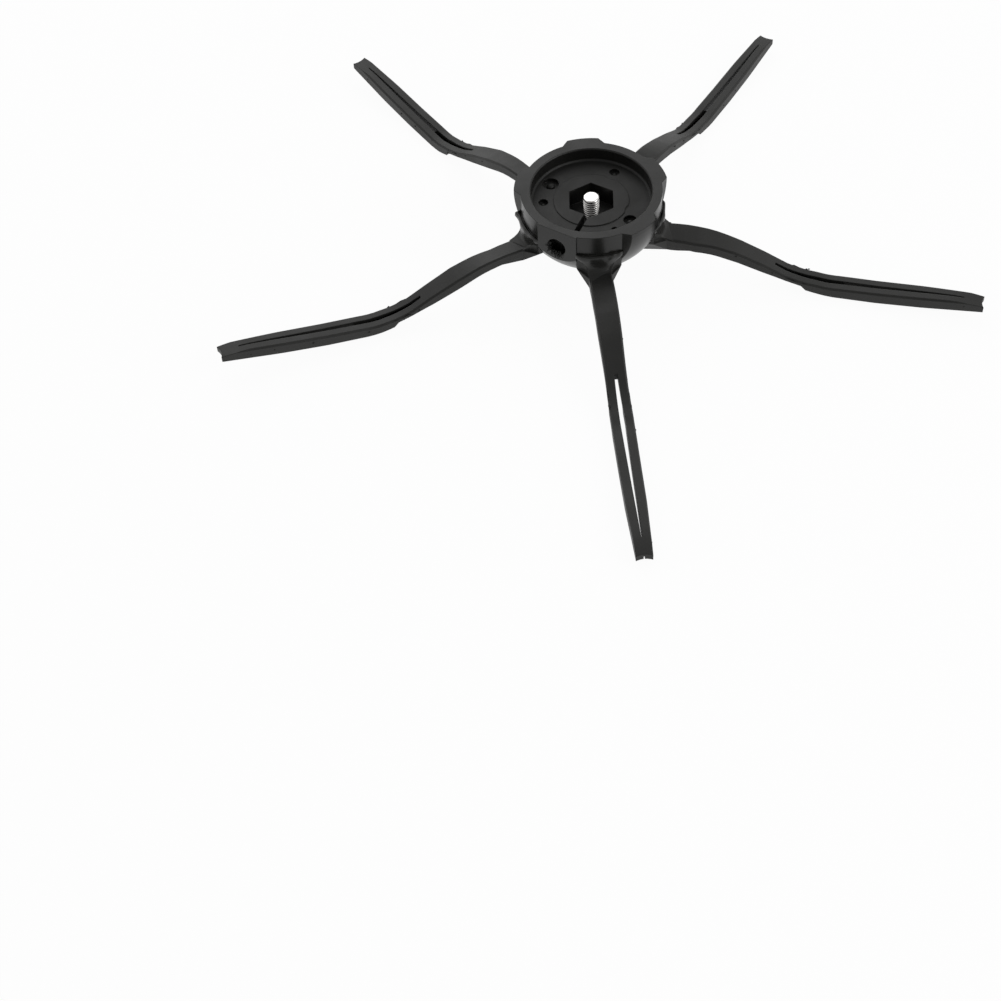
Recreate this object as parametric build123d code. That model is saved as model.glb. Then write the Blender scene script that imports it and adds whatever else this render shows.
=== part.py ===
# Side brush of a robot vacuum cleaner: a hard hub, one rubber moulding with five arms, and a captive screw.
# Millimetres, +Z up, towards the robot. The origin is on the spin axis, in the floor of the hub's recess.
import os
from math import asin, atan2, cos, degrees, hypot, radians, sin, sqrt, tan
from build123d import *

# Pattern of the arms, seen from the drive side
ARM_COUNT = 5
FIRST_ARM_DEG = 270.0

# Hub, outside: a bell with a lobe between each two arms and a notch at each arm
HUB_RADIUS = 14.3
WALL_STRAIGHT = 0.9
BELL_FLAT_RING = 3.25
FOOT_BEVEL_WIDTH = 2.4
FOOT_BEVEL_HEIGHT = 0.8
NOTCH_DEPTH = 1.2
NOTCH_SIDE = 2.0
NOTCH_SLANT_DEG = 5.8
GATE_FLAT_DEPTH = 1.5

# Hub, drive side: a round recess, a hex socket in a low pad, a slit and the marks of the mould's pins
RIM_WALL = 3.1
RIM_EDGE_CHAMFER = 0.2
RECESS_DEPTH = 2.7
RECESS_CORNER_CHAMFER = 0.3
HEX_ACROSS_FLATS = 8.1
HEX_TURN_DEG = 24.5
HEX_DEPTH = 3.5
WEB_THICKNESS = 1.5
PAD_BORDER = 2.95
PAD_HEIGHT = 0.15
PAD_BITE_DEGS = (54.0, 333.0)
PAD_BITE_DIAMETER = 4.4
SLIT_DEG = 240.0
SLIT_OFFSET = 0.85
SLIT_WIDTH = 1.0
SLIT_DEPTH = 2.0
SLIT_TO_WALL = 2.5
PIT_TO_WALL = 2.3
PIT_DEPTH = 0.8
PITS = ((142.0, 3.1), (176.5, 1.8), (54.0, 1.9), (316.5, 2.5), (292.0, 1.2))

# Screw: a pan head and a relieved neck, so that the wider thread cannot drop back through the web
THREAD_DIAMETER = 3.0
STANDS_ABOVE_FLOOR = 0.9
NECK_RELIEF = 0.25
NECK_CLEARANCE = 0.07
NECK_ABOVE_WEB = 0.15
END_FLOAT = 0.1
TIP_CHAMFER = 0.4
HEAD_DIAMETER = 6.2
HEAD_HEIGHT = 2.2
HEAD_CROWN_HEIGHT = 1.2
HEAD_CROWN_WIDTH = 1.4
HEAD_RECESS = 1.6
HEAD_CLEARANCE = 0.65
COUNTERBORE_BEVEL = 0.5
CROSS_SPAN = 3.4
CROSS_BLADE = 0.9
CROSS_DEPTH = 1.5
CROSS_TURN_DEG = 45.0

# Rubber arm, side view: the strap leaves the hub level, drops to a knee and rises a little to its tip
TIP_RADIUS = 73.4
KNEE_RADIUS = 43.4
SHOULDER_REACH = 6.6
STRAP_TOP_OVER_BELL_FOOT = 3.8
SHOULDER_RISE = 0.8
KNEE_DROP = 7.4
TIP_RISE = 2.4
SHOULDER_ROUND = 28.0
KNEE_ROUND = 14.0
STRAP_THICKNESS = 1.75
FIN_STEP = 0.6
FIN_STEP_BEFORE_KNEE = 3.2
TIP_CURVE_LENGTH = 6.5
TIP_CURVE_DROP = 0.8

# Rubber arm, plan view: an even strap, a waist at the start of the slot, fins that narrow to the tip
STRAP_WIDTH = 4.25
WAIST_WIDTH = 3.85
FIN_SPREAD = 4.05
TIP_WIDTH = 3.5
WAIST_ROUND = 80.0
WAIST_RUN = 1.5
FISHTAIL_DEPTH = 0.35
TOP_EDGE_BEVEL = 0.3
SLOT_BEFORE_KNEE = 8.5
SLOT_START_WIDTH = 0.6
SLOT_WIDTH = 0.95
SLOT_END_WIDTH = 0.25
TIP_BRIDGE = 3.6
TIP_WEB = 0.9

# Rubber in and on the hub: the root in each notch, the tongue on the bell, the ring and the mould's gate
ROOT_BELOW_RIM = 4.1
ROOT_FLARE = 1.7
FLARE_SINK = 0.05
TONGUE_TO_BORE = 2.05
TONGUE_CREST = 0.4
TONGUE_NOSE_LEFT = -0.6
TONGUE_NOSE_RIGHT = -1.85
RING_COVER = 1.4
RING_WALL = 0.6
RING_WIDTH = 1.8
RING_HEIGHT = 2.2
GATE_DIAMETER = 3.6
GATE_BELOW_RIM = 3.85
GATE_SINK = 0.6
GATE_WALL = 0.35
RUNNER_WIDTH = 1.2


def dome_centre(narrow, wide):
    """Height on the spin axis that is as far from one point of a half section as from another."""
    return (wide[0] ** 2 + wide[1] ** 2 - narrow[0] ** 2 - narrow[1] ** 2) / (2 * (wide[1] - narrow[1]))


# Sizes that follow from those above
PITCH_DEG = 360.0 / ARM_COUNT
ARM_DEGS = [FIRST_ARM_DEG + PITCH_DEG * k for k in range(ARM_COUNT)]
GATE_DEG = ARM_DEGS[-1] + PITCH_DEG / 2
NOTCH_RADIUS = HUB_RADIUS - NOTCH_DEPTH
NOTCH_HALF_DEG = degrees(asin((STRAP_WIDTH / 2 + NOTCH_SIDE) / NOTCH_RADIUS))
NOTCH_MOUTH_HALF_DEG = NOTCH_HALF_DEG + NOTCH_SLANT_DEG
LOBE_HALF_DEG = PITCH_DEG / 2 - NOTCH_MOUTH_HALF_DEG
GATE_FLAT = HUB_RADIUS - GATE_FLAT_DEPTH
GATE_CORNER_RADIUS = GATE_FLAT / cos(radians(PITCH_DEG / 2 - NOTCH_HALF_DEG))
RECESS_RADIUS = HUB_RADIUS - RIM_WALL
RIM_TOP = RECESS_DEPTH
WALL_EDGE = (HUB_RADIUS, RIM_TOP - WALL_STRAIGHT)
PAD_RADIUS = HEX_ACROSS_FLATS / 2 + PAD_BORDER
PIT_CIRCLE = RECESS_RADIUS - PIT_TO_WALL
THREAD_RADIUS = THREAD_DIAMETER / 2
NECK_RADIUS = THREAD_RADIUS - NECK_RELIEF
HEAD_RADIUS = HEAD_DIAMETER / 2
BORE_RADIUS = HEAD_RADIUS + HEAD_CLEARANCE
BORE_MOUTH_RADIUS = BORE_RADIUS + COUNTERBORE_BEVEL
WEB_BOTTOM = -HEX_DEPTH - WEB_THICKNESS
HEAD_SEAT = WEB_BOTTOM - END_FLOAT
HEAD_TOP = HEAD_SEAT - HEAD_HEIGHT
BELL_BOTTOM = HEAD_TOP - HEAD_RECESS
BELL_FLAT_RADIUS = BORE_MOUTH_RADIUS + BELL_FLAT_RING
FOOT_EDGE = (BELL_FLAT_RADIUS + FOOT_BEVEL_WIDTH, BELL_BOTTOM + FOOT_BEVEL_HEIGHT)
BELL_CENTRE = dome_centre(FOOT_EDGE, WALL_EDGE)
BELL_ROUND = hypot(HUB_RADIUS, WALL_EDGE[1] - BELL_CENTRE)
FIN_DEPTH = STRAP_THICKNESS + FIN_STEP
STRAP_TOP = BELL_BOTTOM + STRAP_TOP_OVER_BELL_FOOT
SHOULDER_RADIUS = HUB_RADIUS + SHOULDER_REACH
KNEE_TOP = STRAP_TOP - KNEE_DROP
TIP_TOP = KNEE_TOP + TIP_RISE
SLOT_START = KNEE_RADIUS - SLOT_BEFORE_KNEE
SLOT_END = TIP_RADIUS - TIP_BRIDGE
RING_TOP = -RING_COVER
RING_BOTTOM = RING_TOP - RING_HEIGHT
RING_OUTER = min(NOTCH_RADIUS, sqrt(BELL_ROUND**2 - (RING_BOTTOM - BELL_CENTRE) ** 2)) - RING_WALL
RING_INNER = RING_OUTER - RING_WIDTH
ROOT_TOP = RIM_TOP - ROOT_BELOW_RIM
TONGUE_NOSE_RADIUS = BORE_MOUTH_RADIUS + TONGUE_TO_BORE
TONGUE_TOP = STRAP_TOP - FLARE_SINK
FLAT_ENOUGH = 1e-6
HIGH = RIM_TOP + HUB_RADIUS
LOW = KNEE_TOP - HUB_RADIUS


def polar(radius, angle):
    return (radius * cos(radians(angle)), radius * sin(radians(angle)))


def outline(*points):
    return make_face(Polyline(*points, close=True))


def upright(face, low, high):
    """A plan outline made solid between two heights."""
    return extrude(Pos(0, 0, low) * face, high - low)


def side_slab(face, width):
    """A side view, drawn as radius and height, made solid over a width about the arm's middle."""
    return extrude(Plane.XZ * face, width / 2, both=True)


def turned(profile):
    """A half section, drawn as radius and height, turned about the spin axis."""
    return revolve(Plane.XZ * profile, Axis.Z)


def height_on(start, end, radius):
    """Height of the straight line between two side-view corners, at a radius."""
    return start.Y + (end.Y - start.Y) * (radius - start.X) / (end.X - start.X)


def dome(narrow, wide):
    """Arc between two points of a half section that turns into part of a sphere on the spin axis."""
    centre = dome_centre(narrow, wide)
    from_deg = degrees(atan2(narrow[1] - centre, narrow[0]))
    to_deg = degrees(atan2(wide[1] - centre, wide[0]))
    return CenterArc((0, centre), hypot(wide[0], wide[1] - centre), from_deg, to_deg - from_deg)


def bell_profile():
    """Half section of the hub's outside: a short wall, a round bell and a bevel to the flat foot."""
    bulge = dome(FOOT_EDGE, WALL_EDGE)
    rest = Polyline(
        bulge @ 1,
        (HUB_RADIUS, RIM_TOP),
        (0, RIM_TOP),
        (0, BELL_BOTTOM),
        (BELL_FLAT_RADIUS, BELL_BOTTOM),
        bulge @ 0,
    )
    return make_face([bulge] + rest.edges())


def rim_plan():
    """Plan of the hub: a notch at each arm and a round lobe after it, or at last a flat for the gate."""
    lines = []
    for arm_deg in ARM_DEGS:
        lobe_from = arm_deg + NOTCH_MOUTH_HALF_DEG
        lobe_to = lobe_from + 2 * LOBE_HALF_DEG
        next_notch = arm_deg + PITCH_DEG - NOTCH_HALF_DEG
        notch_end = arm_deg + NOTCH_HALF_DEG
        lines.append(CenterArc((0, 0), NOTCH_RADIUS, arm_deg - NOTCH_HALF_DEG, 2 * NOTCH_HALF_DEG))
        if arm_deg == ARM_DEGS[-1]:
            flat_from = polar(GATE_CORNER_RADIUS, notch_end)
            flat_to = polar(GATE_CORNER_RADIUS, next_notch)
            corners = [polar(NOTCH_RADIUS, notch_end), flat_from, flat_to, polar(NOTCH_RADIUS, next_notch)]
            lines += Polyline(*corners).edges()
        else:
            lines.append(Line(polar(NOTCH_RADIUS, notch_end), polar(HUB_RADIUS, lobe_from)))
            lines.append(CenterArc((0, 0), HUB_RADIUS, lobe_from, 2 * LOBE_HALF_DEG))
            lines.append(Line(polar(HUB_RADIUS, lobe_to), polar(NOTCH_RADIUS, next_notch)))
    return make_face(lines)


def strap_line():
    """Corners of the arm's top line, from inside the hub to the tip."""
    return [
        Vector(RING_INNER, STRAP_TOP),
        Vector(SHOULDER_RADIUS, STRAP_TOP + SHOULDER_RISE),
        Vector(KNEE_RADIUS, KNEE_TOP),
        Vector(TIP_RADIUS, TIP_TOP),
    ]


def lowered(points, depth):
    """Corners of the line that runs parallel to another one, this far below it."""
    runs = [(b - a).normalized() for a, b in zip(points, points[1:])]
    downs = [Vector(run.Y, -run.X) for run in runs]
    moved = [points[0] + downs[0] * depth]
    for corner, down_in, down_out in zip(points[1:], downs, downs[1:]):
        moved.append(corner + (down_in + down_out) * (depth / (1 + down_in.dot(down_out))))
    return moved + [points[-1] + downs[-1] * depth]


def fitted_rounds(points, wanted):
    """Radius and reach of the round at each inner corner of a line, smaller where its runs are short."""
    fitted = []
    for before, corner, after, radius in zip(points, points[1:], points[2:], wanted):
        run_in, run_out = corner - before, after - corner
        slope = max(tan(radians(run_in.get_angle(run_out) / 2)), FLAT_ENOUGH)
        reach = min(radius * slope, 0.45 * min(run_in.length, run_out.length))
        fitted.append((reach / slope, reach))
    return fitted


def bends():
    """Radius and reach of the arm's shoulder and of its knee."""
    return fitted_rounds(strap_line(), (SHOULDER_ROUND, KNEE_ROUND))


def strap_band(depth):
    """Side view of the arm as a band of even depth under its top line."""
    (shoulder, _), (knee, _) = bends()
    top = FilletPolyline(*strap_line(), radius=[shoulder, knee])
    low = FilletPolyline(*lowered(strap_line(), depth), radius=[shoulder - depth, knee + depth])
    return make_face(top.edges() + low.edges() + [Line(top @ 0, low @ 0), Line(top @ 1, low @ 1)])


def arm_side():
    """Side view of the arm: the strap, and the deeper fins beyond a sloping step just before the knee."""
    strap_low = lowered(strap_line(), STRAP_THICKNESS)
    step_radius = KNEE_RADIUS - FIN_STEP_BEFORE_KNEE
    step_height = height_on(strap_low[1], strap_low[2], step_radius)
    size = TIP_RADIUS
    beyond_step = outline(
        (step_radius - size, step_height + size),
        (step_radius + size, step_height - size),
        (step_radius + 2 * size, step_height - size),
        (step_radius + 2 * size, step_height + size),
    )
    return strap_band(STRAP_THICKNESS) + (strap_band(FIN_DEPTH) & beyond_step)


def arm_plan():
    """Plan of one arm along +X: even widths over both bends, and a hollow fishtail at the tip."""
    (_, shoulder_reach), (_, knee_reach) = bends()
    stations = [
        (RING_INNER, STRAP_WIDTH),
        (SHOULDER_RADIUS + shoulder_reach + WAIST_RUN, STRAP_WIDTH),
        (SLOT_START, WAIST_WIDTH),
        (KNEE_RADIUS - knee_reach, FIN_SPREAD),
        (KNEE_RADIUS + knee_reach, FIN_SPREAD),
        (TIP_RADIUS, TIP_WIDTH),
    ]
    points = [Vector(r, width / 2) for r, width in stations]
    rounds = [radius for radius, _ in fitted_rounds(points, [WAIST_ROUND] * 4)]
    left = FilletPolyline(*points, radius=rounds)
    right = left.mirror(Plane.XZ)
    tail = ThreePointArc(left @ 1, (TIP_RADIUS - FISHTAIL_DEPTH, 0), right @ 1)
    return make_face(left.edges() + right.edges() + [tail, Line(left @ 0, right @ 0)])


def slot_plan():
    """Plan of the slot: it starts narrow, opens at the knee, then closes slowly towards the tip."""
    stations = [(SLOT_START, SLOT_START_WIDTH), (KNEE_RADIUS, SLOT_WIDTH), (SLOT_END, SLOT_END_WIDTH)]
    left = [(r, width / 2) for r, width in stations]
    right = [(r, -width / 2) for r, width in reversed(stations)]
    return outline(*left, *right)


def tip_cuts():
    """What is cut from the tip: its top curves down, and a blind groove below carries the slot on."""
    knee, tip = strap_line()[2:]
    curve_start = TIP_RADIUS - TIP_CURVE_LENGTH
    curve_from = Vector(curve_start, height_on(knee, tip, curve_start))
    curve_to = Vector(TIP_RADIUS, TIP_TOP - TIP_CURVE_DROP)
    curve = TangentArc(curve_from, curve_to, tangent=tip - knee)
    past = TIP_RADIUS + TIP_CURVE_LENGTH
    past_height = height_on(curve_from, curve_to, past)
    above = Polyline(curve @ 1, (past, past_height), (past, HIGH), (curve_start, HIGH), curve @ 0)
    crown = make_face([curve] + above.edges())
    ceiling_start = height_on(curve_from, curve_to, SLOT_END) - TIP_WEB
    groove = outline((SLOT_END, ceiling_start), (past, past_height - TIP_WEB), (past, LOW), (SLOT_END, LOW))
    return side_slab(crown, 2 * STRAP_WIDTH) + side_slab(groove, SLOT_END_WIDTH)


def arm():
    """One arm along +X."""
    body = side_slab(arm_side(), 2 * STRAP_WIDTH) & upright(arm_plan(), LOW, HIGH)
    tops = [face for face in body.faces() if face.normal_at(face.center()).Z > 0.5]
    long_edges = [edge for face in tops for edge in face.edges() if abs(edge.center().Y) > TIP_WIDTH / 4]
    body = chamfer(ShapeList(long_edges), TOP_EDGE_BEVEL)
    return body - upright(slot_plan(), LOW, HIGH) - tip_cuts()


def flare():
    """The arm's thick end: it widens and rises in two hollow curves to the wall of its notch."""
    half = STRAP_WIDTH / 2 - FLARE_SINK
    start, shoulder = strap_line()[:2]
    wall_radius = NOTCH_RADIUS
    tail = wall_radius + ROOT_FLARE
    rise = FilletPolyline(
        (RING_INNER, ROOT_TOP),
        (wall_radius, ROOT_TOP),
        (wall_radius, height_on(start, shoulder, wall_radius) - FLARE_SINK),
        (tail + ROOT_FLARE, height_on(start, shoulder, tail + ROOT_FLARE) - FLARE_SINK),
        (tail + ROOT_FLARE, height_on(start, shoulder, tail) - STRAP_THICKNESS + FLARE_SINK),
        (RING_INNER, STRAP_TOP - STRAP_THICKNESS + FLARE_SINK),
        radius=[0, 0, ROOT_FLARE, 0, 0, 0],
        close=True,
    )
    corner = Vector(*polar(NOTCH_RADIUS, NOTCH_HALF_DEG))
    foot = Vector(sqrt(NOTCH_RADIUS**2 - half**2), half)
    half_turn = radians((foot - corner).get_angle(Vector(1, 0)) / 2)
    side_round = min(0.98 * (foot - corner).length, ROOT_FLARE) / tan(half_turn)
    spread = FilletPolyline(
        (RING_INNER, corner.Y),
        (corner.X, corner.Y),
        (foot.X, half),
        (tail, half),
        (tail, -half),
        (foot.X, -half),
        (corner.X, -corner.Y),
        (RING_INNER, -corner.Y),
        radius=[0, 0, side_round, 0, 0, side_round, 0, 0],
        close=True,
    )
    body = side_slab(make_face(rise), 2 * HUB_RADIUS) & upright(make_face(spread), LOW, HIGH)
    for facet_plan in tongue_plans()[1:]:
        body = split(body, bisect_by=floor_plane(facet_floor(facet_plan)), keep=Keep.TOP)
    return body


def floor_plane(floor_points):
    """The plane through three points of a sloping floor, that faces up."""
    a, b, c = (Vector(*point) for point in floor_points)
    normal = (b - a).cross(c - a).normalized()
    return Plane(origin=a, z_dir=normal if normal.Z > 0 else -normal)


def sloped_block(plan_points, floor_points, top):
    """A plan outline made solid from a sloping floor, given by three points, up to one height."""
    block = upright(outline(*plan_points), LOW, top)
    return split(block, bisect_by=floor_plane(floor_points), keep=Keep.TOP)


def tongue_plans():
    """Plans of the tongue's main face, from the strap's shoulder to the blunt nose, and of its two facets."""
    half = STRAP_WIDTH / 2 - FLARE_SINK
    tail = NOTCH_RADIUS + ROOT_FLARE
    corner_x, corner_y = polar(NOTCH_RADIUS, NOTCH_HALF_DEG)
    nose_left = (TONGUE_NOSE_RADIUS, TONGUE_NOSE_LEFT)
    nose_right = (TONGUE_NOSE_RADIUS, TONGUE_NOSE_RIGHT)
    end = [(SHOULDER_RADIUS, -half), (SHOULDER_RADIUS, half)]
    main_plan = [nose_right, (tail, -half), *end, (tail, half), nose_left]
    left_facet = [nose_left, (tail, half), (corner_x, corner_y)]
    right_facet = [nose_right, (tail, -half), (corner_x, -corner_y)]
    return main_plan, left_facet, right_facet


def main_floor(points):
    """Plan points brought to the tongue's main face, which rises from the nose to the strap's shoulder."""
    nose = Vector(TONGUE_NOSE_RADIUS, BELL_BOTTOM - TONGUE_CREST)
    shoulder = lowered(strap_line()[:3], STRAP_THICKNESS)[1]
    return [(x, y, height_on(nose, shoulder, x)) for x, y in points]


def facet_floor(facet_plan):
    """Corners of one facet: two on the edge of the main face, and one up in the corner of the notch."""
    return main_floor(facet_plan[:2]) + [(*facet_plan[2], STRAP_TOP)]


def tongue():
    """The rubber that runs from the strap's floor side over the bell to a blunt nose by the screw."""
    main_plan, *facets = tongue_plans()
    body = sloped_block(main_plan, main_floor(main_plan[1:4]), TONGUE_TOP)
    return body + [sloped_block(plan, facet_floor(plan), TONGUE_TOP) for plan in facets]


def tongue_channel():
    """Room for the tongue in the bell, open to the floor side."""
    return Part() + [upright(outline(*plan), LOW, TONGUE_TOP) for plan in tongue_plans()]


def root_pad(hub_form):
    """The rubber that fills the foot of one notch, flush with the hub's own outside."""
    half = polar(NOTCH_RADIUS, NOTCH_HALF_DEG)[1]
    plan = outline((RING_INNER, -half), (HUB_RADIUS, -half), (HUB_RADIUS, half), (RING_INNER, half))
    first_notch = hub_form.rotate(Axis.Z, -FIRST_ARM_DEG)
    return upright(plan, STRAP_TOP - STRAP_THICKNESS, ROOT_TOP) & first_notch


def gate_bore(end_radius):
    """The gate's round bore, from behind the recess's wall out to a distance from the spin axis."""
    start = RECESS_RADIUS + GATE_WALL
    bore_plane = Plane(origin=(start, 0, RIM_TOP - GATE_BELOW_RIM), z_dir=(1, 0, 0))
    return extrude(bore_plane * Circle(GATE_DIAMETER / 2), end_radius - start).rotate(Axis.Z, GATE_DEG)


def ring_and_gate():
    """The ring that joins the roots inside the hub, the gate's sunk plug and the runner between them."""
    ring = upright(Circle(RING_OUTER) - Circle(RING_INNER), RING_BOTTOM, RING_TOP)
    runner_end = GATE_FLAT - GATE_SINK
    runner_plan = Pos((RING_INNER + runner_end) / 2, 0) * Rectangle(runner_end - RING_INNER, RUNNER_WIDTH)
    runner = upright(runner_plan, RING_TOP - RUNNER_WIDTH, RING_TOP).rotate(Axis.Z, GATE_DEG)
    return ring + runner + gate_bore(runner_end)


def rubber_star(hub_form):
    limb = arm() + flare() + tongue() + root_pad(hub_form)
    return ring_and_gate() + [limb.rotate(Axis.Z, deg) for deg in ARM_DEGS]


def hub_solid(hub_form, star):
    """The hub: the bell with its recess, socket and bores, less the room that the rubber takes."""
    recess = outline(
        (0, 0),
        (RECESS_RADIUS - RECESS_CORNER_CHAMFER, 0),
        (RECESS_RADIUS, RECESS_CORNER_CHAMFER),
        (RECESS_RADIUS, RIM_TOP - RIM_EDGE_CHAMFER),
        (RECESS_RADIUS + 2 * RIM_EDGE_CHAMFER, RIM_TOP + RIM_EDGE_CHAMFER),
        (0, RIM_TOP + RIM_EDGE_CHAMFER),
    )
    pad = upright(Circle(PAD_RADIUS), -PAD_HEIGHT, PAD_HEIGHT)
    for deg in PAD_BITE_DEGS:
        bite = Pos(*polar(PIT_CIRCLE, deg)) * Circle(PAD_BITE_DIAMETER / 2)
        pad -= upright(bite, 0, HIGH)
    hexagon = RegularPolygon(HEX_ACROSS_FLATS / 2, 6, major_radius=False, rotation=HEX_TURN_DEG)
    socket = upright(hexagon, -HEX_DEPTH, HIGH)
    slit_length = RECESS_RADIUS - SLIT_TO_WALL
    slit_plan = Pos(slit_length / 2, SLIT_OFFSET) * Rectangle(slit_length, SLIT_WIDTH)
    slit = upright(slit_plan, -SLIT_DEPTH, HIGH)
    pits = [upright(Pos(*polar(PIT_CIRCLE, deg)) * Circle(size / 2), -PIT_DEPTH, HIGH) for deg, size in PITS]
    neck_bore = upright(Circle(NECK_RADIUS + NECK_CLEARANCE), LOW, 0)
    head_bore = outline(
        (0, WEB_BOTTOM),
        (BORE_RADIUS, WEB_BOTTOM),
        (BORE_RADIUS, BELL_BOTTOM + COUNTERBORE_BEVEL),
        (BORE_RADIUS + 2 * COUNTERBORE_BEVEL, BELL_BOTTOM - COUNTERBORE_BEVEL),
        (0, BELL_BOTTOM - COUNTERBORE_BEVEL),
    )
    body = hub_form - turned(recess) + pad
    body -= [socket, slit.rotate(Axis.Z, SLIT_DEG), neck_bore, turned(head_bore)] + pits
    body -= gate_bore(HUB_RADIUS)
    return body - star - [tongue_channel().rotate(Axis.Z, deg) for deg in ARM_DEGS]


def hub_screw():
    """The screw, with its head down: crowned head, relieved neck, thread's outside and chamfered tip."""
    thread_start = -HEX_DEPTH + NECK_ABOVE_WEB
    crown = dome((HEAD_RADIUS - HEAD_CROWN_WIDTH, HEAD_TOP), (HEAD_RADIUS, HEAD_TOP + HEAD_CROWN_HEIGHT))
    shank = Polyline(
        crown @ 1,
        (HEAD_RADIUS, HEAD_SEAT),
        (NECK_RADIUS, HEAD_SEAT),
        (NECK_RADIUS, thread_start),
        (THREAD_RADIUS, thread_start),
        (THREAD_RADIUS, STANDS_ABOVE_FLOOR - TIP_CHAMFER),
        (THREAD_RADIUS - TIP_CHAMFER, STANDS_ABOVE_FLOOR),
        (0, STANDS_ABOVE_FLOOR),
        (0, HEAD_TOP),
        crown @ 0,
    )
    blades = Rectangle(CROSS_SPAN, CROSS_BLADE) + Rectangle(CROSS_BLADE, CROSS_SPAN)
    cross = upright(blades, HEAD_TOP - CROSS_DEPTH, HEAD_TOP + CROSS_DEPTH)
    return turned(make_face([crown] + shank.edges())) - cross.rotate(Axis.Z, CROSS_TURN_DEG)


def main():
    hub_form = turned(bell_profile()) & upright(rim_plan(), LOW, HIGH)
    star = rubber_star(hub_form)
    export_step(hub_solid(hub_form, star), "parts/hub.step")
    export_step(star, "parts/rubber_arms.step")
    export_step(hub_screw(), "parts/hub_screw.step")


if __name__ == "__main__":
    os.makedirs("parts", exist_ok=True)
    main()
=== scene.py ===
from math import atan2, cos, radians, sin, tan, tau

import bmesh
import bpy
from mathutils import Matrix, Vector, noise


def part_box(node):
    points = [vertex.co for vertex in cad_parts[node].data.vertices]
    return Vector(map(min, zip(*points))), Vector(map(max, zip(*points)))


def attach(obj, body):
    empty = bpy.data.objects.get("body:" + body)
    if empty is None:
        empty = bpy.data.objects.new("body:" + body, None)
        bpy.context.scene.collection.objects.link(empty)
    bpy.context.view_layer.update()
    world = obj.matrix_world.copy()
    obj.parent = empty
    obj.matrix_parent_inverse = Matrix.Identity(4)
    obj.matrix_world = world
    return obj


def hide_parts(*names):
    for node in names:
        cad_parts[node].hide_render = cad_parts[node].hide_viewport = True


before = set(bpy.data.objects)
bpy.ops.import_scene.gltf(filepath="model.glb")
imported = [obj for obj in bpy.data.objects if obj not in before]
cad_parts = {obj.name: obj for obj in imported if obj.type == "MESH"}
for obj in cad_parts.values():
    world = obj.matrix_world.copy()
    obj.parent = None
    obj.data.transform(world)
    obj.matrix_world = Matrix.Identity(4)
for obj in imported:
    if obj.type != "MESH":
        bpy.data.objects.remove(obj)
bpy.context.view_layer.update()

# Hub: a bell with a rim and a hex socket, one moulding of black ABS.
# Its rim and recess are grained by a spark-eroded tool, and its walls are smooth.
MM = 0.001


def linear(hex_colour):
    """A colour written as sRGB hex, turned to the linear values that a shader takes."""
    parts = [int(hex_colour[i : i + 2], 16) / 255 for i in (1, 3, 5)]
    return [p / 12.92 if p <= 0.04045 else ((p + 0.055) / 1.055) ** 2.4 for p in parts] + [1.0]


def add_node(tree, kind, inputs, **settings):
    """Adds a node with its settings, and gives each named input a value or a link."""
    made = tree.nodes.new(kind)
    for name, value in settings.items():
        setattr(made, name, value)
    for name, value in inputs.items():
        if isinstance(value, bpy.types.NodeSocket):
            tree.links.new(value, made.inputs[name])
        else:
            made.inputs[name].default_value = value
    return made


def new_material(name):
    """An empty material, with its tree and the place that its shader goes to."""
    material = bpy.data.materials.new(name)
    material.use_nodes = True
    tree = material.node_tree
    tree.nodes.clear()
    return material, tree, tree.nodes.new("ShaderNodeOutputMaterial").inputs["Surface"]


# Moulded ABS: black with a faint warm cast, dulled by the tool's grain where it faces up, glossy on walls.
# Slow flow marks vary the gloss, and edges are soft from the mould.
hub_abs, tree, surface = new_material("hub_abs_moulded")
coords = add_node(tree, "ShaderNodeTexCoord", {})
spot = coords.outputs["Object"]
FLOW_MARK = 5 * MM
# The real grain is about 0.03 mm, and is drawn coarser so that it shows.
SPARK_GRAIN = 0.22 * MM
flow = add_node(tree, "ShaderNodeTexNoise", {"Vector": spot, "Scale": 1 / FLOW_MARK, "Detail": 3.0})
grain = add_node(tree, "ShaderNodeTexNoise", {"Vector": spot, "Scale": 1 / SPARK_GRAIN, "Detail": 2.0})
tint = add_node(
    tree,
    "ShaderNodeMix",
    {"Factor": flow.outputs["Fac"], "A": linear("#151514"), "B": linear("#1b1b19")},
    data_type="RGBA",
)
gloss = add_node(
    tree,
    "ShaderNodeMapRange",
    {"Value": flow.outputs["Fac"], "From Min": 0.3, "From Max": 0.7, "To Min": 0.36, "To Max": 0.48},
)
facing_up = add_node(tree, "ShaderNodeSeparateXYZ", {0: coords.outputs["Normal"]}).outputs["Z"]
grained = add_node(tree, "ShaderNodeMapRange", {"Value": facing_up, "From Min": 0.3, "From Max": 0.7})
height = add_node(tree, "ShaderNodeSeparateXYZ", {0: spot}).outputs["Z"]
inputs = {"Value": height, "From Min": 0.3 * MM, "From Max": 2.5 * MM, "To Min": 0.14, "To Max": 0.0}
dull_floor = add_node(tree, "ShaderNodeMapRange", inputs)
inputs = {0: gloss.outputs["Result"], 1: dull_floor.outputs["Result"]}
dull = add_node(tree, "ShaderNodeMath", inputs, operation="ADD")
inputs = {"Factor": grained.outputs["Result"], "A": 0.28, "B": dull.outputs[0]}
finish = add_node(tree, "ShaderNodeMix", inputs)
soft_edge = add_node(tree, "ShaderNodeBevel", {"Radius": 0.18 * MM}, samples=6)
inputs = {"Height": grain.outputs["Fac"], "Normal": soft_edge.outputs["Normal"]}
relief = add_node(tree, "ShaderNodeBump", {"Strength": 0.35, "Distance": 0.02 * MM, **inputs})
shader = add_node(
    tree,
    "ShaderNodeBsdfPrincipled",
    {
        "Base Color": tint.outputs["Result"],
        "Roughness": finish.outputs["Result"],
        "Normal": relief.outputs["Normal"],
        "IOR": 1.53,
        "Specular IOR Level": 0.32,
    },
)
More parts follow.
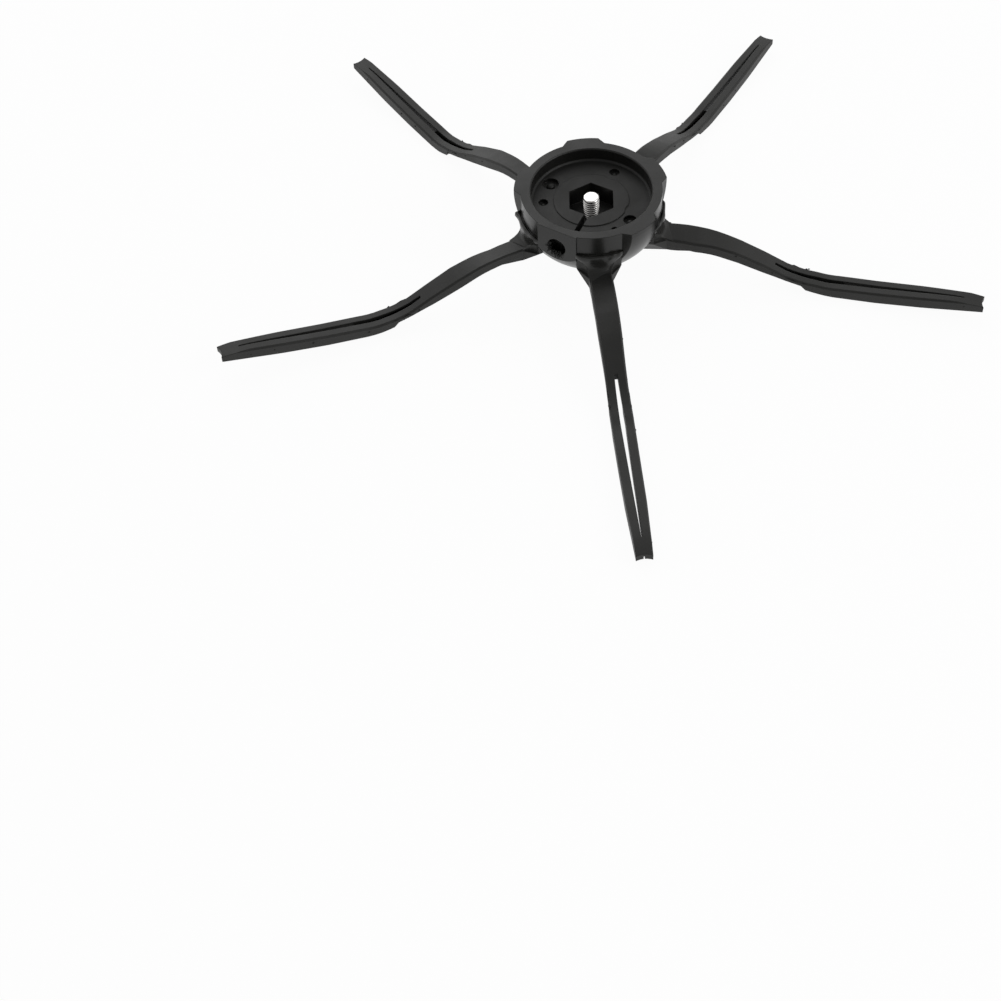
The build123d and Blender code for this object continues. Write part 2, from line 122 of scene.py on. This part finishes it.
tree.links.new(shader.outputs["BSDF"], surface)
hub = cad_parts["hub"]
hub.data.materials.clear()
hub.data.materials.append(hub_abs)

# Pin marks: low domes of the same ABS in the recess's pits.
# They are left where hollow pins of the tool pushed the hub out.
PIN_CIRCLE = 8.9 * MM
PIT_FLOOR = -0.8 * MM
DOME_RISE = 0.8
# The angle and the radius of each mark.
PIN_MARKS = ((142.0, 0.8 * MM), (176.5, 0.45 * MM), (54.0, 0.5 * MM), (316.5, 0.65 * MM))


def add_piece(name, made, material):
    """Puts a made mesh into the scene as a piece that turns with the brush."""
    mesh = bpy.data.meshes.new(name)
    made.to_mesh(mesh)
    made.free()
    mesh.materials.append(material)
    piece = bpy.data.objects.new(name, mesh)
    bpy.context.collection.objects.link(piece)
    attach(piece, "brush")


marks = bmesh.new()
for deg, radius in PIN_MARKS:
    place = Vector((PIN_CIRCLE * cos(radians(deg)), PIN_CIRCLE * sin(radians(deg)), PIT_FLOOR))
    dome = Matrix.Translation(place) @ Matrix.Diagonal((1, 1, DOME_RISE, 1))
    bmesh.ops.create_uvsphere(marks, u_segments=24, v_segments=12, radius=radius, matrix=dome)
for face in marks.faces:
    face.smooth = True
add_piece("pin_marks", marks, hub_abs)

# Rubber arms: five straps with slotted fins, one moulding of soft black rubber, injected into the hub.
# The rubber is limp enough that each arm has set a little to one side and up or down.
NOTCH_RADIUS = 13.1 * MM
ROOT_RADIUS = 15.0 * MM
KNEE_RADIUS = 43.4 * MM
FIRST_ARM_DEG = 270.0
# Degrees to the left from root and knee, degrees down from root and knee, and the sag between them in mm.
ARM_SETS = (
    (0.94, -1.20, 0.11, 2.64, 0.0),
    (-0.46, -1.80, -0.13, 0.58, 0.0),
    (-0.46, -1.38, 0.84, 0.42, 0.2),
    (-0.57, -1.72, 1.05, -3.19, -0.25),
    (0.79, -4.07, -0.40, -2.44, 0.6),
)
# Radius, half width, middle height, then how far top, underside and one side leave the straight line, in mm.
ARM_SHAPE = (
    (13.1, 2.12, -5.2, 0.0, 0.0, 0.0),
    (16.0, 2.12, -5.3, 0.0, 0.0, 0.8),
    (20.0, 2.12, -5.6, 0.0, -0.1, 1.0),
    (24.0, 2.12, -6.4, 0.15, 0.0, 0.45),
    (28.0, 2.12, -7.6, 0.25, 0.0, 0.0),
    (33.0, 1.95, -9.5, 0.0, 0.05, 0.0),
    (37.5, 1.97, -11.2, -0.6, 0.3, 0.0),
    (40.0, 2.02, -12.1, -0.35, 0.6, 0.0),
    (42.5, 2.02, -12.9, 0.05, 0.6, 0.0),
    (47.0, 2.02, -13.3, 0.1, 0.4, 0.0),
    (54.0, 1.95, -12.8, -0.05, 0.1, 0.0),
    (64.0, 1.84, -12.1, 0.0, 0.15, 0.0),
    (74.0, 1.75, -11.5, -0.1, 0.3, 0.0),
)
TAPER_RADIUS = 62.0 * MM
TAPER_PER_MM = 0.015


def arm_axes(arm):
    """The ways outward along an arm and across it to its left."""
    angle = radians(FIRST_ARM_DEG) + arm * tau / len(ARM_SETS)
    return Vector((cos(angle), sin(angle), 0)), Vector((-sin(angle), cos(angle), 0))


def nearest_arm(point):
    """The number of the arm that a point is part of."""
    return round((atan2(point.y, point.x) - radians(FIRST_ARM_DEG)) / (tau / len(ARM_SETS))) % len(ARM_SETS)


def shape_at(radius):
    """The row of the shape table at a radius, in metres."""
    for near, far in zip(ARM_SHAPE, ARM_SHAPE[1:]):
        if radius <= far[0] * MM:
            break
    share = (radius / MM - near[0]) / (far[0] - near[0])
    return [(a + (b - a) * share) * MM for a, b in zip(near, far)]


def flexed(point):
    """Where a point of a straight arm goes on the real one: its profile, then its set from root and knee."""
    arm = nearest_arm(point)
    outward, leftward = arm_axes(arm)
    out, across = point.dot(outward), point.dot(leftward)
    if out < NOTCH_RADIUS:
        return point
    half, middle, top, under, twist = shape_at(out)[1:]
    lift = (top if point.z > middle else under) - twist * min(max((half - across) / (2 * half), 0), 1)
    *degs, sag = ARM_SETS[arm]
    side_root, side_knee, down_root, down_knee = (tan(radians(deg)) for deg in degs)
    past_root, past_knee = max(out - ROOT_RADIUS, 0), max(out - KNEE_RADIUS, 0)
    side = side_root * past_root + side_knee * past_knee
    side -= across * TAPER_PER_MM * max(out - TAPER_RADIUS, 0) / MM
    share = min(past_root / (KNEE_RADIUS - ROOT_RADIUS), 1)
    drop = down_root * past_root + down_knee * past_knee + sag * MM * 4 * share * (1 - share)
    return point + leftward * side + Vector((0, 0, lift - drop))


FLEX_STEP = 1.2 * MM
SHARP_DEG = 32
GATE_DEG = 234.0
GATE_FLAT = 12.8 * MM
GATE_RADIUS = 1.8 * MM
TORN_DEPTH = 1.6 * MM
gate_out = Vector((cos(radians(GATE_DEG)), sin(radians(GATE_DEG)), 0))
gate_left = Vector((-sin(radians(GATE_DEG)), cos(radians(GATE_DEG)), 0))
arms_bm = bmesh.new()
arms_bm.from_mesh(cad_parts["rubber_arms"].data)
bmesh.ops.remove_doubles(arms_bm, verts=arms_bm.verts, dist=0.001 * MM)
for arm in range(len(ARM_SETS)):
    outward = arm_axes(arm)[0]
    faces = [face for face in arms_bm.faces if face.calc_center_median().dot(outward) > NOTCH_RADIUS]
    faces = [face for face in faces if nearest_arm(face.calc_center_median()) == arm]
    edges = {edge for face in faces for edge in face.edges}
    cut = list({vertex for face in faces for vertex in face.verts}) + list(edges) + faces
    radius = NOTCH_RADIUS + FLEX_STEP
    while radius < ARM_SHAPE[-1][0] * MM:
        cut = bmesh.ops.bisect_plane(
            arms_bm, geom=cut, dist=0.001 * MM, plane_co=outward * radius, plane_no=outward
        )["geom"]
        radius += FLEX_STEP
# The gate's plug is torn out deeper than it was moulded.
for vertex in arms_bm.verts:
    if vertex.co.dot(gate_out) > GATE_FLAT - 1 * MM and abs(vertex.co.dot(gate_left)) < GATE_RADIUS:
        vertex.co -= gate_out * TORN_DEPTH
    vertex.co = flexed(vertex.co)
arms_bm.normal_update()
for face in arms_bm.faces:
    face.smooth = True
for edge in arms_bm.edges:
    edge.smooth = edge.calc_face_angle(0) < radians(SHARP_DEG)
arms_mesh = bpy.data.meshes.new("rubber_arms_set")
arms_bm.to_mesh(arms_mesh)
arms_bm.free()
rubber_arms = bpy.data.objects.new("rubber_arms_set", arms_mesh)
bpy.context.collection.objects.link(rubber_arms)
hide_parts("rubber_arms")
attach(rubber_arms, "brush")

# Moulded TPE rubber: charcoal black, matt with a low sheen, finely grained by the tool and dusty in places.
arm_tpe, tree, surface = new_material("arm_tpe_moulded")
spot = add_node(tree, "ShaderNodeTexCoord", {}).outputs["Object"]
DUST_PATCH = 7 * MM
# This grain too is drawn coarser than the real one, so that it shows.
RUBBER_GRAIN = 0.16 * MM
dust = add_node(tree, "ShaderNodeTexNoise", {"Vector": spot, "Scale": 1 / DUST_PATCH, "Detail": 4.0})
grain = add_node(tree, "ShaderNodeTexNoise", {"Vector": spot, "Scale": 1 / RUBBER_GRAIN, "Detail": 2.0})
tint = add_node(
    tree,
    "ShaderNodeMix",
    {"Factor": dust.outputs["Fac"], "A": linear("#1c1c1b"), "B": linear("#262624")},
    data_type="RGBA",
)
gloss = add_node(
    tree,
    "ShaderNodeMapRange",
    {"Value": dust.outputs["Fac"], "From Min": 0.3, "From Max": 0.7, "To Min": 0.44, "To Max": 0.58},
)
soft_edge = add_node(tree, "ShaderNodeBevel", {"Radius": 0.22 * MM}, samples=6)
inputs = {"Height": grain.outputs["Fac"], "Normal": soft_edge.outputs["Normal"]}
relief = add_node(tree, "ShaderNodeBump", {"Strength": 0.4, "Distance": 0.02 * MM, **inputs})
shader = add_node(
    tree,
    "ShaderNodeBsdfPrincipled",
    {
        "Base Color": tint.outputs["Result"],
        "Roughness": gloss.outputs["Result"],
        "Normal": relief.outputs["Normal"],
        "IOR": 1.5,
        "Specular IOR Level": 0.35,
    },
)
tree.links.new(shader.outputs["BSDF"], surface)
arms_mesh.materials.clear()
arms_mesh.materials.append(arm_tpe)

# The same rubber where a polished insert of the tool shaped it: it shines at a low angle,
# and turns matt towards the strap.
lip_tpe = arm_tpe.copy()
lip_tpe.name = "arm_tpe_polished"
tree = lip_tpe.node_tree
spot = add_node(tree, "ShaderNodeTexCoord", {}).outputs["Object"]
height = add_node(tree, "ShaderNodeSeparateXYZ", {"Vector": spot}).outputs["Z"]
polish = add_node(
    tree,
    "ShaderNodeMapRange",
    {"Value": height, "From Min": -4.7 * MM, "From Max": -3.4 * MM, "To Min": 0.52, "To Max": 0.3},
)
shader = next(node for node in tree.nodes if node.type == "BSDF_PRINCIPLED")
tree.links.new(polish.outputs["Result"], shader.inputs["Roughness"])

# Root lips: the thick skin of each arm's root, of the same rubber.
# Its upper edge has come away from the notch's wall, and it runs down in a hollow face to the strap's top.
LIP_TOP = -1.38 * MM
LIP_HALF = 4.6 * MM
STRAP_HALF = 2.08 * MM
FACE_FOOT = -4.72 * MM
FOOT_REACH, FOOT_SLANT = 1.9 * MM, 0.9 * MM
BEAD_RISE, BEAD_DOWN, BEAD_HALF = 0.12 * MM, 0.92, 0.12
EDGE_WEAR, TOP_WEAR = 0.35, 0.12
# Which arm's lip has a loose end, from what share of its half width, and how far that stands off, in mm.
LOOSE_ENDS, LOOSE_FROM, LOOSE_REACH = (0, 0, 0, 0, 1), 0.7, 0.6
# How far each row of the edge stands off the notch's wall, and how high over the lip's top, in mm.
# The rows nearer than the skirt stay at the wall where the end is loose.
LIP_EDGE = ((0.1, -1.2), (0.12, -0.1), (0.2, 0.0), (0.5, -0.02), (0.62, -0.12), (0.66, -0.8))
SKIRT_OFF = 0.15
FACE_ROWS = 9
STEPS_ACROSS = 36
lips = bmesh.new()
for arm in range(len(ARM_SETS)):
    outward, leftward = arm_axes(arm)
    lines = []
    for row in range(len(LIP_EDGE) + FACE_ROWS):
        line = []
        for k in range(STEPS_ACROSS + 1):
            across = 2 * k / STEPS_ACROSS - 1
            wear = noise.noise(Vector((across * 4, arm * 7.3, 0.5)))
            loose = max(-across - LOOSE_FROM, 0) / (1 - LOOSE_FROM) * LOOSE_ENDS[arm]
            closing = 1 - across**10 * (loose == 0)
            if row < len(LIP_EDGE):
                off, rise = LIP_EDGE[row]
                side = LIP_HALF * across
                off *= closing * (1 + EDGE_WEAR * wear)
                reach = NOTCH_RADIUS + (off + LOOSE_REACH * loose * (LIP_EDGE[row][0] > SKIRT_OFF)) * MM
                out = (reach**2 - side**2) ** 0.5
                height = LIP_TOP + (rise + TOP_WEAR * wear) * MM
            else:
                down = (row - len(LIP_EDGE) + 1) / FACE_ROWS
                half = STRAP_HALF + (LIP_HALF - STRAP_HALF) * (1 - down) ** 1.5
                side = half * across
                top = NOTCH_RADIUS + LIP_EDGE[-1][0] * closing * MM
                top = (top**2 - (LIP_HALF * across) ** 2) ** 0.5
                foot = NOTCH_RADIUS + FOOT_REACH - FOOT_SLANT * across
                out = top + (foot - top) * down**4
                height = LIP_TOP + LIP_EDGE[-1][1] * MM
                height += (FACE_FOOT - height) * (1 - (1 - down) ** 1.6)
                height += BEAD_RISE * max(1 - abs(down - BEAD_DOWN) / BEAD_HALF, 0) * (1 - across**4)
            line.append(lips.verts.new(flexed(outward * out + leftward * side + Vector((0, 0, height)))))
        lines.append(line)
    for upper, lower in zip(lines, lines[1:]):
        for k in range(STEPS_ACROSS):
            lips.faces.new((upper[k], upper[k + 1], lower[k + 1], lower[k])).smooth = True
    if LOOSE_ENDS[arm]:
        lips.faces.new([line[0] for line in lines[: len(LIP_EDGE)]])
add_piece("root_lips", lips, lip_tpe)

# Gate flash: torn strands of the same rubber, that hang round the lower half of the gate's mouth.
# They are left where the runner was broken off, and are not trimmed.
GATE_HEIGHT = -1.15 * MM
STRAND_COUNT = 30
STRAND_WIDTH = 0.16 * MM
STRANDS_FROM_DEG, STRANDS_SPAN_DEG = 150, 160
flash = bmesh.new()


def add_strand(made, points, width):
    """A torn strand: a three-sided thread along some points, that thins to its end."""
    rings = []
    for i, point in enumerate(points):
        size = width * (1 - 0.8 * i / (len(points) - 1))
        corners = [Vector((cos(a), sin(a), 0.6 * sin(a + 1))) * size for a in (0.2, 2.3, 4.4)]
        rings.append([made.verts.new(point + corner) for corner in corners])
    for below, above in zip(rings, rings[1:]):
        for k in range(3):
            made.faces.new((below[k], below[(k + 1) % 3], above[(k + 1) % 3], above[k]))
    made.faces.new(rings[0][::-1])
    made.faces.new(rings[-1])


for i in range(STRAND_COUNT):
    chance = [noise.noise(Vector((i * 3.7, n * 5.1, 2.2))) for n in range(4)]
    around = radians(STRANDS_FROM_DEG + STRANDS_SPAN_DEG * i / STRAND_COUNT + 14 * chance[0])
    edge = gate_left * cos(around) + Vector((0, 0, sin(around)))
    start = gate_out * (GATE_FLAT - 0.15 * MM) + Vector((0, 0, GATE_HEIGHT))
    start += edge * GATE_RADIUS * (0.75 + 0.3 * chance[1])
    lean = edge * (0.7 + 0.6 * chance[2]) + gate_out * (0.35 + 0.35 * chance[3]) - Vector((0, 0, 0.5))
    bow = gate_out * 0.25 * (1 + chance[0])
    add_strand(flash, [start, start + (lean * 0.5 + bow) * MM, start + lean * MM], STRAND_WIDTH)
add_piece("gate_flash", flash, arm_tpe)

# Nibs and shade skins: specks of the same rubber along the arms' sides, and a thin skin in the roots of four
# slots.
# The nibs are flash, left where the mould's halves met; the skins are painted shade, a sheet that closes
# slots which show only shade.
NIBS_PER_ARM = 9
NIBS_FROM, NIBS_SPAN = 21 * MM, 50 * MM
NIB_SIZE, NIB_SPREAD = 0.15 * MM, 0.1 * MM
nibs = bmesh.new()
for arm in range(len(ARM_SETS)):
    outward, leftward = arm_axes(arm)
    for n in range(NIBS_PER_ARM):
        chance = [noise.noise(Vector((n * 4.3, arm * 6.1, j * 3.9))) for j in range(3)]
        radius = NIBS_FROM + NIBS_SPAN * (n + 0.5 + 0.6 * chance[0]) / NIBS_PER_ARM
        half, middle = shape_at(radius)[1:3]
        side = half if chance[1] > 0 else -half
        place = flexed(outward * radius + leftward * side + Vector((0, 0, middle)))
        grow = Matrix.Translation(place) @ outward.to_track_quat("X", "Z").to_matrix().to_4x4()
        size = NIB_SIZE + NIB_SPREAD * chance[2]
        speck = grow @ Matrix.Diagonal((1.5, 1, 0.8, 1))
        bmesh.ops.create_icosphere(nibs, subdivisions=1, radius=size, matrix=speck)
add_piece("arm_nibs", nibs, arm_tpe)

# Painted shade: rubber skins that shut four open slots, so that they read dark.
FILM_ARMS = (1, 2, 3, 4)
FILM_FROM, FILM_TO = 34.6 * MM, 48.0 * MM
FILM_HALF, FILM_SINK, FILM_THICK = 0.55 * MM, 0.45 * MM, 0.12 * MM
FILM_STEPS = 16
shade_skins = bmesh.new()
for arm in FILM_ARMS:
    outward, leftward = arm_axes(arm)
    ends = None
    for n in range(FILM_STEPS + 1):
        radius = FILM_FROM + (FILM_TO - FILM_FROM) * n / FILM_STEPS
        level = outward * radius + Vector((0, 0, shape_at(radius)[2] - FILM_SINK))
        pair = [shade_skins.verts.new(flexed(level + leftward * side)) for side in (-FILM_HALF, FILM_HALF)]
        if ends:
            shade_skins.faces.new((ends[0], pair[0], pair[1], ends[1]))
        ends = pair
bmesh.ops.solidify(shade_skins, geom=shade_skins.faces[:], thickness=FILM_THICK)
add_piece("slot_shade_skins", shade_skins, arm_tpe)

# Screw: a plated steel M3 screw with a cross recess, that holds the brush on the drive shaft.
# Its thread is rolled, and its end stands in the hex socket.
THREAD_RADIUS = 1.5 * MM
THREAD_PITCH = 0.5 * MM
THREAD_DEPTH = 0.31 * MM
THREAD_START = -3.35 * MM
PLAIN_TIP = 0.3 * MM
TIP_ROUND = 0.3 * MM
FLANK_SLOPE, CREST_SHARE = 2.6, 0.2
STEPS_ROUND = 96
ROWS_PER_PITCH = 24
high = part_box("hub_screw")[1]
screw_bm = bmesh.new()
screw_bm.from_mesh(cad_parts["hub_screw"].data)
# This layer marks the thread's roots, where the steel is coloured dark as painted shade.
groove = screw_bm.verts.layers.float.new("groove")
shank_faces = [face for face in screw_bm.faces if face.calc_center_median().z > THREAD_START - 0.01 * MM]
bmesh.ops.delete(screw_bm, geom=shank_faces, context="FACES")
row_count = round((high.z - THREAD_START) / THREAD_PITCH * ROWS_PER_PITCH)
rows = []
for i in range(row_count + 1):
    height = THREAD_START + (high.z - THREAD_START) * i / row_count
    row = []
    for k in range(STEPS_ROUND):
        turn = k / STEPS_ROUND
        along = (height / THREAD_PITCH - turn) % 1.0
        flank = min(max(abs(along - 0.5) * FLANK_SLOPE - CREST_SHARE, 0), 1)
        below_tip = max(high.z - height, 0)
        fade = min(max(below_tip / PLAIN_TIP - 1, 0), 1)
        radius = THREAD_RADIUS - THREAD_DEPTH * flank * fade
        corner = max(TIP_ROUND - below_tip, 0)
        radius -= TIP_ROUND - (TIP_ROUND**2 - corner**2) ** 0.5
        vertex = screw_bm.verts.new((radius * cos(turn * tau), radius * sin(turn * tau), height))
        vertex[groove] = flank * fade
        row.append(vertex)
    rows.append(row)
for below, above in zip(rows, rows[1:]):
    for k in range(STEPS_ROUND):
        after = (k + 1) % STEPS_ROUND
        screw_bm.faces.new((below[k], below[after], above[after], above[k])).smooth = True
screw_bm.faces.new(rows[-1])
screw_bm.faces.new(rows[0][::-1])
screw_mesh = bpy.data.meshes.new("screw_threaded")
screw_bm.to_mesh(screw_mesh)
screw_bm.free()
screw = bpy.data.objects.new("screw_threaded", screw_mesh)
bpy.context.collection.objects.link(screw)
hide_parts("hub_screw")
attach(screw, "screw")

# Zinc-plated steel: bright and clear, with a fine haze from the plating, and painted shade in the thread's
# roots.
plated_steel, tree, surface = new_material("screw_steel_plated")
spot = add_node(tree, "ShaderNodeTexCoord", {}).outputs["Object"]
PLATING_HAZE = 0.4 * MM
haze = add_node(tree, "ShaderNodeTexNoise", {"Vector": spot, "Scale": 1 / PLATING_HAZE, "Detail": 3.0})
gloss = add_node(
    tree,
    "ShaderNodeMapRange",
    {"Value": haze.outputs["Fac"], "From Min": 0.3, "From Max": 0.7, "To Min": 0.2, "To Max": 0.32},
)
# Painted shade: the thread's roots are mixed towards near black.
painted_thread_shade = add_node(tree, "ShaderNodeAttribute", {}, attribute_name="groove")
tint = add_node(
    tree,
    "ShaderNodeMix",
    {"Factor": painted_thread_shade.outputs["Fac"], "A": linear("#efedea"), "B": linear("#1a1917")},
    data_type="RGBA",
)
shader = add_node(
    tree,
    "ShaderNodeBsdfPrincipled",
    {"Base Color": tint.outputs["Result"], "Metallic": 1.0, "Roughness": gloss.outputs["Result"]},
)
tree.links.new(shader.outputs["BSDF"], surface)
screw_mesh.materials.clear()
screw_mesh.materials.append(plated_steel)

# Table and light: a white sweep under a broad soft light, as for a catalogue picture.
# The sweep is seen as plain white, and keeps a faint shadow under the arms.
SWEEP_SIZE = 3.0
lowest = min((rubber_arms.matrix_world @ vertex.co).z for vertex in arms_mesh.vertices)
bpy.ops.mesh.primitive_plane_add(size=SWEEP_SIZE, location=(0, 0, lowest))
sweep = bpy.context.object
sweep.name = "sweep"
white_card, tree, surface = new_material("sweep_white_card")
paths = add_node(tree, "ShaderNodeLightPath", {})
seen = paths.outputs["Is Camera Ray"]
for ray in ("Is Glossy Ray", "Is Transmission Ray"):
    seen = add_node(tree, "ShaderNodeMath", {0: seen, 1: paths.outputs[ray]}, operation="MAXIMUM").outputs[0]
share = add_node(tree, "ShaderNodeMath", {0: seen, 1: 0.95}, operation="MULTIPLY")
card = add_node(tree, "ShaderNodeBsdfDiffuse", {"Color": linear("#f4f4f4")})
glow = add_node(tree, "ShaderNodeEmission", {"Color": linear("#ffffff"), "Strength": 1.0})
both = add_node(tree, "ShaderNodeMixShader", {0: share.outputs[0], 1: card.outputs[0], 2: glow.outputs[0]})
tree.links.new(both.outputs[0], surface)
sweep.data.materials.append(white_card)

# The studio is brighter near the horizon than overhead, darker towards the camera,
# and plain white where it is seen.
world = bpy.data.worlds.new("studio")
bpy.context.scene.world = world
world.use_nodes = True
tree = world.node_tree
way = add_node(tree, "ShaderNodeTexCoord", {}).outputs["Generated"]
upward = add_node(tree, "ShaderNodeSeparateXYZ", {0: way}).outputs["Z"]
sky = add_node(tree, "ShaderNodeMapRange", {"Value": upward, "From Min": 0.1, "To Min": 1.15, "To Max": 0.32})
forward = add_node(tree, "ShaderNodeVectorMath", {0: way, 1: (0.0, -0.9, 0.43)}, operation="DOT_PRODUCT")
inputs = {"Value": forward.outputs["Value"], "From Min": 0.5, "From Max": 0.97, "To Min": 1.0, "To Max": 0.24}
dark_front = add_node(tree, "ShaderNodeMapRange", inputs)
inputs = {0: sky.outputs["Result"], 1: dark_front.outputs["Result"]}
level = add_node(tree, "ShaderNodeMath", inputs, operation="MULTIPLY")
seen = add_node(tree, "ShaderNodeLightPath", {}).outputs["Is Camera Ray"]
inputs = {"Value": seen, "To Min": level.outputs[0], "To Max": 1.0}
shown = add_node(tree, "ShaderNodeMapRange", inputs)
tree.links.new(shown.outputs["Result"], tree.nodes["Background"].inputs["Strength"])
tree.nodes["Background"].inputs["Color"].default_value = linear("#ffffff")


def softbox(name, place, target, size, watts):
    """A square soft light that faces a point."""
    data = bpy.data.lights.new(name, "AREA")
    data.shape = "SQUARE"
    data.size = size
    data.energy = watts
    lamp = bpy.data.objects.new(name, data)
    lamp.location = place
    lamp.rotation_euler = (Vector(target) - Vector(place)).to_track_quat("-Z", "Y").to_euler()
    bpy.context.collection.objects.link(lamp)


softbox("back_softbox", (-0.1, 0.42, 0.45), (0, 0, 0), 0.5, 1.0)
softbox("side_fill", (0.5, -0.25, 0.35), (0, 0, 0), 0.35, 1.1)

# Camera: it looks down on the brush from the front, about 34 cm away,
# with the brush off the middle of the picture.
FOCAL_PX = 1821.44
PICTURE_PX = 1001
TILT_DEGS = (-38.493, -2.151, 4.896)
BRUSH_FROM_CAMERA = Vector((16.81, 55.60, -337.32)) * MM
turn = Matrix.Identity(3)
for axis, deg in zip("XYZ", TILT_DEGS):
    turn = turn @ Matrix.Rotation(radians(deg), 3, axis)
camera_data = bpy.data.cameras.new("camera")
camera_data.sensor_width = 36.0
camera_data.lens = FOCAL_PX * camera_data.sensor_width / PICTURE_PX
camera_data.clip_start = 0.01
camera = bpy.data.objects.new("camera", camera_data)
place = -(turn.transposed() @ BRUSH_FROM_CAMERA)
camera.matrix_world = Matrix.Translation(place) @ turn.transposed().to_4x4()
bpy.context.collection.objects.link(camera)
bpy.context.scene.camera = camera
bpy.context.scene.view_settings.view_transform = "Standard"
